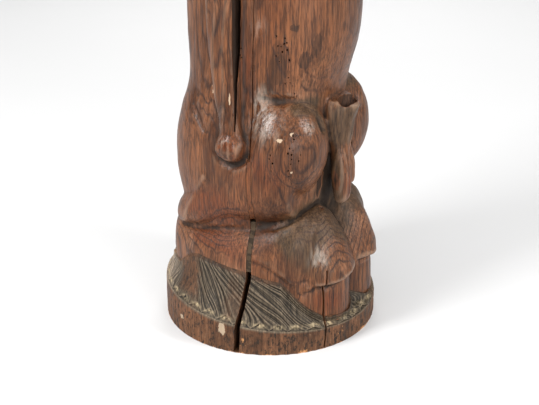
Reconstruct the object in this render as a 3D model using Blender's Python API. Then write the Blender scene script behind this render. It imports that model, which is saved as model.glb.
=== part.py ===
"""Tiki figure: a figure kneeling on its heels and its round base of grass, cut from one log.

The figure faces -Y and its left side is +X. The origin is on the floor, under the log's middle.
Every length below is in millimetres, and MM turns it into metres where a mesh is made.
A wooden spline and a strip of filler are let into the log's widest drying check.
"""

import math

import bpy
import numpy as np

MM = 0.001

# Driving dimensions
HEIGHT = 800.0
BASE_RADIUS = 125.0
RIM_HEIGHT = 36.0
RIM_SLOPE = -0.1  # the rim is higher at the figure's front
HIP_HEIGHT = 232.0
WAIST_HEIGHT = 293.0
NECK_HEIGHT = 548.0
FIST_HEIGHT = 236.0

# Drying checks: upright gaps that run in from the bark side towards the pith.
# Each path is a list of (height, angle from +X in degrees, width).
CHECK_TOP = 224.0
HAIRLINE_TOP = 440.0
HEEL_CHECK_TOP = 96.0
MAIN_CHECK = [
    (-5, 11.6, 7.2), (38, 12.4, 6.2), (60, 14.4, 5.8), (84, 16.8, 6.2), (150, 17.1, 6.4),
    (CHECK_TOP, 16.8, 6.4),
]
HAIRLINE = [(CHECK_TOP, 16.8, 1.4), (300, 17.0, 1.2), (370, 17.6, 1.2), (HAIRLINE_TOP, 17.6, 1.0)]
HEEL_CHECK = [(-5, 59.0, 2.2), (34, 60.5, 2.0), (HEEL_CHECK_TOP, 61.5, 1.6)]
CHECK_FLOOR_RADIUS = 50.0
HEEL_CHECK_FLOOR_RADIUS = 88.0
CHECK_REACH = BASE_RADIUS + 12  # the plates that cut the checks stop clear of the log
CHECK_LAP = 4.0  # how far the hairline runs down into the main check

# Pieces let into the main check
INSERT_INNER_RADIUS = 78.0
FIT_GAP = 0.3
SPLINE_BOTTOM = 152.0
FILLER_BOTTOM = 94.0
FILLER_TOP = 147.0

# Far enough outside the log to cut off all that is below the floor
FLOOR_CUT_HALF = 200.0
FLOOR_CUT_BOTTOM = -60.0

# Finishes: (red, green, blue), roughness
OILED_WOOD = (0.16, 0.060, 0.022), 0.42
SPLINE_WOOD = (0.13, 0.045, 0.016), 0.5
GREY_FILLER = (0.10, 0.08, 0.055), 0.85

# Surface quality
VOXEL = 4.0
RING_POINTS = 48
PLATE_STEP = 12.0
TRIANGLES = 8200

SIDES = (1, -1)


def blended(rows, steps):
    """The rows with a smooth (Catmull-Rom) run of further rows between each pair."""
    rows = np.array(rows, float)
    ends = np.vstack([2 * rows[0] - rows[1], rows, 2 * rows[-1] - rows[-2]])
    run = []
    for before, start, end, after in zip(ends, ends[1:], ends[2:], ends[3:]):
        for t in np.arange(steps) / steps:
            bend = 2 * before - 5 * start + 4 * end - after
            twist = 3 * (start - end) + after - before
            run.append(start + 0.5 * t * (end - before + t * (bend + t * twist)))
    return np.array(run + [rows[-1]])


def outline(power, ring_points=RING_POINTS):
    """A unit superellipse: power 2 is round, and a higher power is squarer."""
    angles = np.linspace(0, 2 * math.pi, ring_points, endpoint=False)
    cosines, sines = np.cos(angles), np.sin(angles)
    across = np.sign(cosines) * np.abs(cosines) ** (2 / power)
    along = np.sign(sines) * np.abs(sines) ** (2 / power)
    return across, along


def skinned(rings):
    """A closed skin over a run of rings, as points and faces, with each end capped."""
    rings = np.array(rings)
    count, size = rings.shape[:2]
    faces = []
    for row in range(count - 1):
        for i in range(size):
            j = (i + 1) % size
            low, high = row * size, (row + 1) * size
            faces.append((low + i, low + j, high + j, high + i))
    faces.append(tuple(reversed(range(size))))
    faces.append(tuple(range((count - 1) * size, count * size)))
    return rings.reshape(-1, 3), faces


def column(rows, steps=6, ring_points=RING_POINTS):
    """An upright form from rows of (z, half x, half y, centre x, centre y, power)."""
    rings = []
    for z, half_x, half_y, centre_x, centre_y, power in blended(rows, steps):
        across, along = outline(power, ring_points)
        x = centre_x + half_x * across
        y = centre_y + half_y * along
        rings.append(np.column_stack([x, y, np.full(ring_points, z)]))
    return skinned(rings)


def limb(rows, side, steps=6):
    """A form lying front to back, from rows of (y, centre x, half x, low z, high z, power)."""
    rings = []
    for y, centre_x, half_x, low, high, power in blended(rows, steps):
        across, upward = outline(power)
        x = side * centre_x + half_x * across
        z = (low + high) / 2 + (high - low) / 2 * upward
        rings.append(np.column_stack([x, np.full(RING_POINTS, y), z]))
    return skinned(rings[::-1])


def lump(centre, radii, lean=0.0, turn=0.0, belts=24, ring_points=RING_POINTS):
    """An egg, leaned about X and then turned about Z, in degrees."""
    rows = []
    for latitude in np.linspace(-88, 88, belts + 1):
        width = math.cos(math.radians(latitude))
        rows.append((math.sin(math.radians(latitude)), width, width, 0, 0, 2))
    points, faces = column(rows, steps=1, ring_points=ring_points)
    points = points * radii
    lean, turn = math.radians(lean), math.radians(turn)
    about_x = [[1, 0, 0], [0, math.cos(lean), -math.sin(lean)], [0, math.sin(lean), math.cos(lean)]]
    about_z = [[math.cos(turn), -math.sin(turn), 0], [math.sin(turn), math.cos(turn), 0], [0, 0, 1]]
    return points @ np.array(about_x).T @ np.array(about_z).T + centre, faces


def mesh_of(name, shapes):
    """One mesh of several closed shapes, in metres."""
    points, faces, start = [], [], 0
    for shape_points, shape_faces in shapes:
        points.append(np.asarray(shape_points) * MM)
        faces.extend(tuple(start + i for i in face) for face in shape_faces)
        start += len(shape_points)
    mesh = bpy.data.meshes.new(name)
    mesh.from_pydata(np.vstack(points).tolist(), [], faces)
    mesh.update()
    return mesh


def placed(name, mesh):
    thing = bpy.data.objects.new(name, mesh)
    bpy.context.scene.collection.objects.link(thing)
    return thing


def evaluated(thing):
    """A copy of the object's mesh with its modifiers applied."""
    bpy.context.view_layer.update()
    graph = bpy.context.evaluated_depsgraph_get()
    return bpy.data.meshes.new_from_object(thing.evaluated_get(graph), depsgraph=graph)


def fused(shapes, passes):
    """One skin round all the shapes, softened by some smoothing passes, as a shape again."""
    thing = placed("fusing", mesh_of("fusing", shapes))
    remesh = thing.modifiers.new("one skin", "REMESH")
    remesh.mode = "VOXEL"
    remesh.voxel_size = VOXEL * MM
    soften = thing.modifiers.new("soften", "SMOOTH")
    soften.factor = 0.5
    soften.iterations = passes
    mesh = evaluated(thing)
    points = np.empty(len(mesh.vertices) * 3)
    mesh.vertices.foreach_get("co", points)
    faces = [tuple(face.vertices) for face in mesh.polygons]
    bpy.data.objects.remove(thing)
    return points.reshape(-1, 3) / MM, faces


def tilted(shape):
    """The shape with its heights following the slope of the rim."""
    points, faces = shape
    rise = np.clip(points[:, 2] / RIM_HEIGHT, 0, 1)
    points[:, 2] += RIM_SLOPE * points[:, 1] * rise
    return points, faces


def base():
    """The round plinth, whose rim slopes down from front to back."""
    rows = [
        (-12, BASE_RADIUS - 1, BASE_RADIUS - 1, 0, 0, 2),
        (0, BASE_RADIUS - 1, BASE_RADIUS - 1, 0, 0, 2),
        (RIM_HEIGHT / 2, BASE_RADIUS, BASE_RADIUS, 0, 0, 2),
        (RIM_HEIGHT, BASE_RADIUS - 1, BASE_RADIUS - 1, 0, 0, 2),
    ]
    return tilted(column(rows, steps=2))


def grass_mound():
    """The steep heap of grass that climbs from the rim to the shins."""
    rows = [
        (16, 119, 119, 0, 0, 2),
        (RIM_HEIGHT, 118, 118, 0, 0, 2),
        (44, 115, 115, 0, 0, 2),
        (56, 112, 110, 0, -1, 2),
        (74, 108, 104, 0, -3, 2),
        (94, 102, 92, 0, -10, 2),
        (110, 82, 72, 0, -14, 2),
    ]
    return tilted(column(rows))


def trunk():
    """Waist, back and chest."""
    rows = [
        (104, 80, 80, 0, -10, 2.2),
        (150, 90, 88, 0, -11, 2.2),
        (187, 96, 93, 0, -12, 2.2),
        (225, 96, 92, 0, -12, 2.2),
        (255, 92, 89, 0, -9, 2.2),
        (WAIST_HEIGHT, 84, 87, 0, -2, 2.2),
        (350, 79, 96, 0, 4, 2.3),
        (420, 80, 96, 0, 5, 2.3),
        (480, 84, 88, 0, 4, 2.3),
        (522, 78, 74, 0, 2, 2.2),
        (NECK_HEIGHT, 58, 58, 0, 2, 2.1),
        (NECK_HEIGHT + 20, 50, 52, 0, 0, 2),
    ]
    return column(rows)


def belly_and_chest():
    chest = [lump((36 * side, -60, 466), (40, 25, 36), lean=14) for side in SIDES]
    return chest + [lump((0, -60, 208), (66, 46, 60))]


def thigh(side):
    """From the hip forwards and down to the front of the knee."""
    rows = [
        (-99, 26, 12, 110, 126, 2.2),
        (-92, 32, 26, 108, 140, 2.4),
        (-78, 40, 35, 112, 155, 2.6),
        (-60, 46, 40, 118, 172, 2.7),
        (-40, 51, 42, 124, 190, 2.7),
        (0, 52, 46, 135, 232, 2.6),
        (40, 50, 47, 141, 262, 2.4),
        (70, 46, 36, 150, 240, 2.2),
    ]
    return limb(rows, side)


def buttock(side):
    return lump((50 * side, 47, HIP_HEIGHT), (47, 48, 62))


def lower_leg(side):
    """The shin and calf, from the knee back to the ankle."""
    rows = [
        (-105, 24, 14, 68, 108, 2.2),
        (-99, 29, 24, 54, 120, 2.5),
        (-90, 35, 31, 46, 124, 2.6),
        (-78, 41, 37, 42, 126, 2.8),
        (-60, 47, 42, 38, 127, 2.9),
        (-40, 50, 46, 36, 130, 3),
        (0, 52, 50, 36, 138, 3),
        (40, 50, 49, 38, 145, 2.8),
        (72, 42, 42, 52, 156, 2.4),
        (90, 36, 32, 70, 147, 2.2),
    ]
    return limb(rows, side)


def heel(side):
    """A hood that swells downwards and ends in a firm edge over the foot."""
    rows = [
        (74, 34, 34, 29 * side, 80, 2),
        (80, 38, 38, 29 * side, 80.5, 2),
        (92, 39, 39, 29 * side, 81, 2),
        (112, 35, 35, 29 * side, 78, 2),
        (130, 31, 31, 30 * side, 73, 2),
        (148, 25, 25, 31 * side, 66, 2),
        (160, 15, 15, 32 * side, 60, 2),
    ]
    return column(rows)


def foot(side):
    """The upright foot, standing on its toes under the heel, with its instep in front."""
    toes = [(12, 36.5, 36.5, 28 * side, 80, 2), (82, 34.5, 34.5, 28 * side, 80, 2)]
    instep = [(12, 26, 26, 55 * side, 66, 2), (80, 26, 26, 53 * side, 66, 2)]
    return [column(toes), column(instep)]


def arm(side):
    """Hanging from a round shoulder, straight down to a narrow wrist."""
    rows = [
        (FIST_HEIGHT, 12, 13, 91 * side, 6, 2.2),
        (256, 12, 13.5, 89.5 * side, 4, 2.4),
        (275, 11.5, 14, 88 * side, 1, 2.4),
        (310, 13, 18, 84 * side, -4, 2.6),
        (370, 16, 21, 79 * side, -8, 2.6),
        (425, 22, 25, 78 * side, -8, 2.5),
        (480, 27, 37, 76 * side, -3, 2.4),
        (516, 22, 31, 72 * side, -1, 2.2),
        (538, 9, 14, 64 * side, 0, 2.1),
    ]
    return column(rows)


def fist(side):
    return lump((93.5 * side, 5.5, FIST_HEIGHT), (15.5, 18.5, 17.5))


def rear_tilt(points):
    """Lowers the back of the knot's mouth and lifts its ends."""
    lift = np.clip((points[:, 2] - 250) / 26, 0, 1)
    points[:, 2] += 0.18 * (90 - points[:, 1]) * lift
    return points


def knot():
    """The loincloth's knot behind the waist: a fold flared to an edge, over its hanging ends."""
    fold = [
        (204, 13, 9, 0, 89, 2),
        (217, 14, 11, 0, 89, 1.8),
        (236, 18, 15, 0, 88, 1.6),
        (256, 23, 19, 0, 87, 1.5),
        (270, 23, 24, 0, 86, 1.5),
        (279, 20, 27, 0, 85, 1.45),
    ]
    points, faces = column(fold)
    flare = rear_tilt(points), faces
    near_end = [
        (158, 5, 4, 8, 95, 2),
        (165, 10, 8, 8, 97, 2.2),
        (186, 13, 10, 8, 96, 2.4),
        (206, 12, 9, 7, 94, 2.4),
        (228, 10, 8, 3, 91, 2),
    ]
    far_end = [
        (172, 5, 4, -10, 92, 2),
        (180, 9, 8, -10, 94, 2.2),
        (202, 10, 9, -9, 93, 2.4),
        (224, 9, 8, -6, 90, 2),
    ]
    return [flare, column(near_end), column(far_end)]


def knot_mouth():
    """The hollow inside the flared fold."""
    rows = [
        (252, 3, 3, 0, 97, 1.8),
        (266, 9, 8, 0, 98, 1.8),
        (278, 16.5, 10, 0, 97.5, 1.8),
        (298, 17.5, 11, 0, 97.5, 1.8),
    ]
    points, faces = column(rows, steps=2, ring_points=20)
    return rear_tilt(points), faces


def skull():
    rows = [
        (NECK_HEIGHT - 8, 54, 56, 0, 2, 2.2),
        (566, 62, 64, 0, -4, 2.3),
        (600, 76, 78, 0, -8, 2.5),
        (650, 83, 85, 0, -7, 2.5),
        (720, 83, 85, 0, -4, 2.4),
        (760, 76, 78, 0, -1, 2.3),
        (790, 50, 52, 0, 1, 2.1),
    ]
    return column(rows)


def hair():
    """A close cap with a firm lower edge all round."""
    rows = [
        (718, 84, 84, 0, 0, 2.4),
        (724, 88, 89, 0, -3, 2.4),
        (748, 86, 87, 0, -2, 2.4),
        (776, 70, 71, 0, 0, 2.2),
        (HEIGHT - 4, 42, 42, 0, 1, 2),
        (HEIGHT, 22, 22, 0, 1, 2),
    ]
    return column(rows)


def nose():
    rows = [
        (618, 15, 12, 0, -84, 2.2),
        (628, 23, 19, 0, -86, 2.4),
        (650, 17, 19, 0, -84, 2.4),
        (684, 11, 15, 0, -80, 2.4),
        (712, 14, 13, 0, -76, 2.2),
    ]
    return column(rows)


def face():
    """Nose, lips, chin, brows and ears, that stand out from the skull."""
    forms = [nose(), lump((0, -78, 592), (44, 17, 17)), lump((0, -66, 562), (40, 22, 18))]
    for side in SIDES:
        forms.append(lump((37 * side, -73, 704), (38, 17, 12), turn=22 * side))
        forms.append(lump((83 * side, 6, 660), (10, 18, 38)))
    return forms


def figure_and_base():
    """The whole carving as one shape: soft inside each group, and creased between groups."""
    hips = [form(side) for side in SIDES for form in (thigh, buttock)]
    legs = [form(side) for side in SIDES for form in (lower_leg, heel)]
    arms = [form(side) for side in SIDES for form in (arm, fist)]
    feet = [form for side in SIDES for form in foot(side)]
    groups = [
        fused([trunk()] + belly_and_chest(), 10),
        fused(hips, 8),
        fused(legs, 2),
        fused([skull()] + face(), 2),
        fused([base(), grass_mound()], 1),
    ]
    return fused(groups + feet + arms + knot() + [hair()], 1)


def slab(path, low, high, inner, thinner=0.0, outer=CHECK_REACH):
    """An upright plate along a radius, following a check's path between two heights."""
    heights, angles, widths = np.transpose(path)
    rings = []
    for z in np.linspace(low, high, 2 + int((high - low) / PLATE_STEP)):
        angle = math.radians(np.interp(z, heights, angles))
        width = np.interp(z, heights, widths) - thinner
        along = np.array([math.cos(angle), math.sin(angle), 0])
        across = np.array([-along[1], along[0], 0])
        corners = ((inner, -1), (outer, -1), (outer, 1), (inner, 1))
        ring = [along * radius + across * half * width / 2 for radius, half in corners]
        rings.append(np.array(ring) + (0, 0, z))
    return skinned(rings)


def box(half_width, low, high):
    corners = np.array([(-1, -1, 0), (1, -1, 0), (1, 1, 0), (-1, 1, 0)]) * half_width
    return skinned([corners + (0, 0, low), corners + (0, 0, high)])


def helper(name, shape):
    """A shape that only cuts another, and is never part of the object."""
    thing = placed(name, mesh_of(name, [shape]))
    thing.hide_render = True
    thing.display_type = "WIRE"
    return thing


def combine(thing, other, operation):
    modifier = thing.modifiers.new(operation.lower() + " " + other.name, "BOOLEAN")
    modifier.operation = operation
    modifier.solver = "EXACT"
    modifier.object = other


def coloured(thing, finish):
    colour, roughness = finish
    material = bpy.data.materials.new(thing.name)
    material.use_nodes = True
    surface = material.node_tree.nodes["Principled BSDF"]
    surface.inputs["Base Color"].default_value = (*colour, 1)
    surface.inputs["Roughness"].default_value = roughness
    surface.inputs["Metallic"].default_value = 0.0
    thing.data.materials.clear()
    thing.data.materials.append(material)


def hollows():
    """Named shapes that are cut out of the carving."""
    shapes = [
        ("under_floor", box(FLOOR_CUT_HALF, FLOOR_CUT_BOTTOM, 0)),
        ("main_check", slab(MAIN_CHECK, MAIN_CHECK[0][0], CHECK_TOP, CHECK_FLOOR_RADIUS)),
        ("hairline_check", slab(HAIRLINE, CHECK_TOP - CHECK_LAP, HAIRLINE_TOP, CHECK_FLOOR_RADIUS)),
        ("heel_check", slab(HEEL_CHECK, HEEL_CHECK[0][0], HEEL_CHECK_TOP, HEEL_CHECK_FLOOR_RADIUS)),
        ("knot_mouth", knot_mouth()),
        ("knee_gap", socket((0, -106, 100), (5, 15, 54))),
        ("mouth", socket((0, -97, 592), (38, 9, 3.5))),
    ]
    for side, word in zip(SIDES, ("left", "right")):
        shapes.append(("arm_gap_" + word, arm_gap(side)))
        shapes.append(("eye_socket_" + word, eye_socket(side)))
    return shapes


def socket(centre, radii, turn=0.0):
    """A plain egg to cut with."""
    return lump(centre, radii, turn=turn, belts=10, ring_points=20)


def arm_gap(side):
    """The deep cut that frees the back of the arm from the back of the figure."""
    rows = [
        (256, 12, 0.8, 92 * side, 13, 2),
        (290, 17, 1.3, 88 * side, 11.5, 2),
        (330, 19, 2.3, 86 * side, 10, 2),
        (370, 20, 3.2, 84 * side, 9.5, 2),
        (460, 20, 3.4, 88 * side, 13, 2),
        (496, 14, 2, 96 * side, 20, 2),
    ]
    return column(rows, steps=2, ring_points=12)


def eye(side):
    return socket((36 * side, -73, 677), (22, 10, 10), turn=24 * side)


def eye_socket(side):
    return socket((37 * side, -88, 680), (27, 13, 14), turn=24 * side)


def carved_log(blank):
    """The carving, cut off level at the floor and opened by its checks and deep cuts."""
    log = placed("carved_log", mesh_of("carved_log", [blank]))
    thin = log.modifiers.new("fewer triangles", "DECIMATE")
    thin.ratio = TRIANGLES / (2 * len(log.data.polygons))
    for name, shape in hollows():
        combine(log, helper(name, shape), "DIFFERENCE")
    for side, word in zip(SIDES, ("left", "right")):
        combine(log, helper("eye_" + word, eye(side)), "UNION")
    coloured(log, OILED_WOOD)
    return log


def insert(name, blank, low, high, finish):
    """A strip that fills the mouth of the main check and is shaped to the carving outside."""
    plate = slab(MAIN_CHECK, low, high, INSERT_INNER_RADIUS, thinner=2 * FIT_GAP)
    piece = placed(name, mesh_of(name, [plate]))
    combine(piece, blank, "INTERSECT")
    coloured(piece, finish)
    return piece


def build():
    for thing in list(bpy.data.objects):
        bpy.data.objects.remove(thing)
    shape = figure_and_base()
    carved_log(shape)
    blank = helper("blank", shape)
    insert("check_spline", blank, SPLINE_BOTTOM, CHECK_TOP - FIT_GAP, SPLINE_WOOD)
    insert("check_filler", blank, FILLER_BOTTOM, FILLER_TOP, GREY_FILLER)


build()
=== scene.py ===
"""Looks of the carved tiki figure: the carving's fine surface, its hardwood, its grass base and its checks.

The frame's axes are kept: the figure faces -Y, its left side is +X, and the origin is on the floor.
Lengths are in millimetres of the design, and MM, taken from the frame, turns them into metres.
"""

import math

import bmesh
import bpy
import numpy as np
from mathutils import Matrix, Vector


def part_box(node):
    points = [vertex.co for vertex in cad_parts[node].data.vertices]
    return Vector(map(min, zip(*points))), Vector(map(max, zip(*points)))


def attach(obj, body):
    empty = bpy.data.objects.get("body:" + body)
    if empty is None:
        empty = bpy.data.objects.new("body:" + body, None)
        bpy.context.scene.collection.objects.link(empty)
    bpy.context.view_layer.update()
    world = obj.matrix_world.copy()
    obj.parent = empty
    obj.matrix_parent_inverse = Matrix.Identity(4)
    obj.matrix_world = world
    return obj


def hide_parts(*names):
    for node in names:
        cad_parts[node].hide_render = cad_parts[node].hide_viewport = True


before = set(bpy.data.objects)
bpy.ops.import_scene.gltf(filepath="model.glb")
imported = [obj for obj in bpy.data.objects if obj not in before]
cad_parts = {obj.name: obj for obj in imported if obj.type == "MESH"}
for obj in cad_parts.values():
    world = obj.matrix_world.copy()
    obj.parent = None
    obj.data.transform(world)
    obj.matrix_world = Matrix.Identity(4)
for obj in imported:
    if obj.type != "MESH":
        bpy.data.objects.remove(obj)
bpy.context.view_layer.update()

# Driving dimensions, as in the design
HEIGHT = 800.0
BASE_RADIUS = 125.0
RIM_HEIGHT = 36.0
RIM_SLOPE = -0.1  # the rim is higher at the figure's front
HIP_HEIGHT = 232.0
WAIST_HEIGHT = 293.0
NECK_HEIGHT = 548.0
FIST_HEIGHT = 236.0

log_low, log_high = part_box("carved_log")
MM = (log_high.z - log_low.z) / HEIGHT

# Drying checks: paths of (height, angle from +X in degrees, width)
CHECK_TOP = 224.0
HAIRLINE_TOP = 440.0
HEEL_CHECK_TOP = 96.0
MAIN_CHECK = [
    (-5, 11.6, 7.2), (38, 12.4, 6.2), (60, 14.4, 5.8), (84, 16.8, 6.2), (150, 17.1, 6.4),
    (CHECK_TOP, 16.8, 6.4),
]
HAIRLINE = [(CHECK_TOP, 16.8, 1.1), (300, 17.0, 0.9), (370, 17.6, 0.9), (HAIRLINE_TOP, 17.6, 0.6)]
HEEL_CHECK = [(-5, 59.0, 2.2), (34, 60.5, 2.0), (HEEL_CHECK_TOP, 61.5, 1.6)]
CHECK_FLOOR_RADIUS = 50.0
HEEL_CHECK_FLOOR_RADIUS = 88.0
CHECK_LAP = 4.0  # how far the hairline starts below the main check's top
BASE_WEB = 1.0  # wood left under the checks, so that no floor shows through

# Pieces let into the main check
INSERT_INNER_RADIUS = 78.0
FIT_GAP = 0.45
SPLINE_BOTTOM = 152.0
FILLER_BOTTOM = 94.0
FILLER_TOP = 147.0

# Fineness of the surface
VOXEL = 2.4
RING_POINTS = 64
ROW_STEPS = 8  # rings from one row of a form to the next
LUMP_BELTS = 24
LUMP_POINTS = 40
BASE_POINTS = 980
PLATE_STEP = 4.0
FIGURE_TRIANGLES = 190000
FIGURE_BOTTOM = 20.0  # the figure piece ends here, inside the base

SIDES = (1, -1)


# ---- Shapes as arrays of points and lists of faces ----

def blended(rows, steps):
    """The rows with a smooth (Catmull-Rom) run of further rows between each pair."""
    rows = np.array(rows, float)
    ends = np.vstack([2 * rows[0] - rows[1], rows, 2 * rows[-1] - rows[-2]])
    run = []
    for before, start, end, after in zip(ends, ends[1:], ends[2:], ends[3:]):
        for t in np.arange(steps) / steps:
            bend = 2 * before - 5 * start + 4 * end - after
            twist = 3 * (start - end) + after - before
            run.append(start + 0.5 * t * (end - before + t * (bend + t * twist)))
    return np.array(run + [rows[-1]])


def outline(power, ring_points=RING_POINTS):
    """A unit superellipse: power 2 is round, and a higher power is squarer."""
    angles = np.linspace(0, 2 * math.pi, ring_points, endpoint=False)
    cosines, sines = np.cos(angles), np.sin(angles)
    across = np.sign(cosines) * np.abs(cosines) ** (2 / power)
    along = np.sign(sines) * np.abs(sines) ** (2 / power)
    return across, along


def skinned(rings):
    """A closed skin over a run of rings, as points and faces, with each end capped."""
    rings = np.array(rings)
    count, size = rings.shape[:2]
    faces = []
    for row in range(count - 1):
        for i in range(size):
            j = (i + 1) % size
            low, high = row * size, (row + 1) * size
            faces.append((low + i, low + j, high + j, high + i))
    faces.append(tuple(reversed(range(size))))
    faces.append(tuple(range((count - 1) * size, count * size)))
    return rings.reshape(-1, 3), faces


def column(rows, steps=ROW_STEPS, ring_points=RING_POINTS):
    """An upright form from rows of (z, half x, half y, centre x, centre y, power)."""
    rings = []
    for z, half_x, half_y, centre_x, centre_y, power in blended(rows, steps):
        across, along = outline(power, ring_points)
        x = centre_x + half_x * across
        y = centre_y + half_y * along
        rings.append(np.column_stack([x, y, np.full(ring_points, z)]))
    return skinned(rings)


def limb(rows, side):
    """A form lying front to back, from rows of (y, centre x, half x, low z, high z, power)."""
    rings = []
    for y, centre_x, half_x, low, high, power in blended(rows, ROW_STEPS):
        across, upward = outline(power)
        x = side * centre_x + half_x * across
        z = (low + high) / 2 + (high - low) / 2 * upward
        rings.append(np.column_stack([x, np.full(RING_POINTS, y), z]))
    return skinned(rings[::-1])


def lump(centre, radii, lean=0.0, turn=0.0):
    """An egg, leaned about X and then turned about Z, in degrees."""
    rows = []
    for latitude in np.linspace(-88, 88, LUMP_BELTS + 1):
        width = math.cos(math.radians(latitude))
        rows.append((math.sin(math.radians(latitude)), width, width, 0, 0, 2))
    points, faces = column(rows, steps=1, ring_points=LUMP_POINTS)
    points = points * radii
    lean, turn = math.radians(lean), math.radians(turn)
    about_x = [[1, 0, 0], [0, math.cos(lean), -math.sin(lean)], [0, math.sin(lean), math.cos(lean)]]
    about_z = [[math.cos(turn), -math.sin(turn), 0], [math.sin(turn), math.cos(turn), 0], [0, 0, 1]]
    return points @ np.array(about_x).T @ np.array(about_z).T + centre, faces


def mesh_of(name, shapes):
    """One mesh of several closed shapes, in metres."""
    points, faces, start = [], [], 0
    for shape_points, shape_faces in shapes:
        points.append(np.asarray(shape_points) * MM)
        faces.extend(tuple(start + i for i in face) for face in shape_faces)
        start += len(shape_points)
    mesh = bpy.data.meshes.new(name)
    mesh.from_pydata(np.vstack(points).tolist(), [], faces)
    mesh.update()
    return mesh


def placed(name, mesh):
    thing = bpy.data.objects.new(name, mesh)
    bpy.context.scene.collection.objects.link(thing)
    return thing


def evaluated(thing):
    """A copy of the object's mesh with its modifiers applied."""
    bpy.context.view_layer.update()
    graph = bpy.context.evaluated_depsgraph_get()
    return bpy.data.meshes.new_from_object(thing.evaluated_get(graph), depsgraph=graph)


def apply_modifiers(thing):
    result = evaluated(thing)
    thing.modifiers.clear()
    thing.data = result


def read_rows(items, key, width, kind=float):
    """One row of numbers for each of a mesh's items."""
    values = np.empty(len(items) * width, kind)
    items.foreach_get(key, values)
    return values.reshape(-1, width)


def points_of(mesh):
    """The mesh's points in millimetres."""
    return read_rows(mesh.vertices, "co", 3) / MM


def normals_of(mesh):
    return read_rows(mesh.vertices, "normal", 3)


def move_points(mesh, points):
    mesh.vertices.foreach_set("co", (points * MM).ravel())
    mesh.update()


def fused_mesh(shapes, passes):
    """One skin round all the shapes, softened by some smoothing passes."""
    thing = placed("fusing", mesh_of("fusing", shapes))
    remesh = thing.modifiers.new("one skin", "REMESH")
    remesh.mode = "VOXEL"
    remesh.voxel_size = VOXEL * MM
    soften = thing.modifiers.new("soften", "SMOOTH")
    soften.factor = 0.5
    soften.iterations = passes
    mesh = evaluated(thing)
    bpy.data.objects.remove(thing)
    return mesh


def fused(shapes, passes):
    """The fused skin as a shape again."""
    mesh = fused_mesh(shapes, passes)
    return points_of(mesh), [tuple(face.vertices) for face in mesh.polygons]


# ---- The figure's forms ----

def trunk():
    """Waist, back and chest."""
    rows = [
        (104, 80, 80, 0, -10, 2.2),
        (150, 90, 88, 0, -11, 2.2),
        (187, 96, 93, 0, -12, 2.2),
        (225, 96, 92, 0, -12, 2.2),
        (255, 92, 89, 0, -9, 2.2),
        (WAIST_HEIGHT, 84, 87, 0, -2, 2.2),
        (350, 79, 96, 0, 4, 2.3),
        (420, 80, 96, 0, 5, 2.3),
        (480, 84, 88, 0, 4, 2.3),
        (522, 78, 74, 0, 2, 2.2),
        (NECK_HEIGHT, 58, 58, 0, 2, 2.1),
        (NECK_HEIGHT + 20, 50, 52, 0, 0, 2),
    ]
    return column(rows)


def belly_and_chest():
    chest = [lump((36 * side, -60, 466), (40, 25, 36), lean=14) for side in SIDES]
    return chest + [lump((0, -60, 208), (66, 46, 60))]


def thigh(side):
    """From the hip forwards and down to the front of the knee."""
    rows = [
        (-99, 26, 12, 110, 126, 2.2),
        (-92, 32, 26, 108, 140, 2.4),
        (-78, 40, 35, 112, 155, 2.6),
        (-60, 46, 40, 118, 172, 2.7),
        (-40, 51, 42, 124, 190, 2.7),
        (0, 52, 46, 135, 232, 2.6),
        (40, 50, 47, 141, 262, 2.4),
        (70, 46, 36, 150, 240, 2.2),
    ]
    return limb(rows, side)


def buttock(side):
    return lump((50 * side, 47, HIP_HEIGHT), (47, 48, 62))


def lower_leg(side):
    """The shin and calf, from the knee back to the ankle."""
    rows = [
        (-105, 24, 14, 68, 108, 2.2),
        (-99, 29, 24, 54, 120, 2.5),
        (-90, 35, 31, 46, 124, 2.6),
        (-78, 41, 37, 42, 126, 2.8),
        (-60, 47, 42, 38, 127, 2.9),
        (-40, 50, 46, 36, 130, 3),
        (0, 52, 50, 36, 138, 3),
        (40, 50, 49, 38, 145, 2.8),
        (72, 42, 42, 52, 156, 2.4),
        (90, 36, 32, 70, 147, 2.2),
    ]
    return limb(rows, side)


def heel(side):
    """A hood that swells downwards and ends in a firm edge over the foot."""
    rows = [
        (74, 34, 34, 29 * side, 80, 2),
        (80, 38, 38, 29 * side, 80.5, 2),
        (92, 39, 39, 29 * side, 81, 2),
        (112, 35, 35, 29 * side, 78, 2),
        (130, 31, 31, 30 * side, 73, 2),
        (148, 25, 25, 31 * side, 66, 2),
        (160, 15, 15, 32 * side, 60, 2),
    ]
    return column(rows)


def foot(side):
    """The upright foot, standing on its toes under the heel, with its instep in front."""
    toes = [(12, 36.5, 36.5, 28 * side, 80, 2), (82, 34.5, 34.5, 28 * side, 80, 2)]
    instep = [(12, 26, 26, 55 * side, 66, 2), (80, 26, 26, 53 * side, 66, 2)]
    return [column(toes), column(instep)]


def arm(side):
    """Hanging from a round shoulder, straight down to a narrow wrist."""
    rows = [
        (FIST_HEIGHT, 12, 13, 91 * side, 6, 2.2),
        (256, 12, 13.5, 89.5 * side, 4, 2.4),
        (275, 11.5, 14, 88 * side, 1, 2.4),
        (310, 13, 18, 84 * side, -4, 2.6),
        (370, 16, 21, 79 * side, -8, 2.6),
        (425, 22, 25, 78 * side, -8, 2.5),
        (480, 27, 37, 76 * side, -3, 2.4),
        (516, 22, 31, 72 * side, -1, 2.2),
        (538, 9, 14, 64 * side, 0, 2.1),
    ]
    return column(rows)


def fist(side):
    """A closed hand: a round palm with four curled fingers low on its outer face."""
    forms = [lump((92.5 * side, 5.5, FIST_HEIGHT), (16.5, 18.5, 17.5))]
    for place in (-1.5, -0.5, 0.5, 1.5):
        centre = (100.5 * side, 5.5 + 7.4 * place, FIST_HEIGHT - 5 + abs(place))
        forms.append(lump(centre, (8.5, 4.6, 11), turn=5 * place * side))
    return forms


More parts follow.
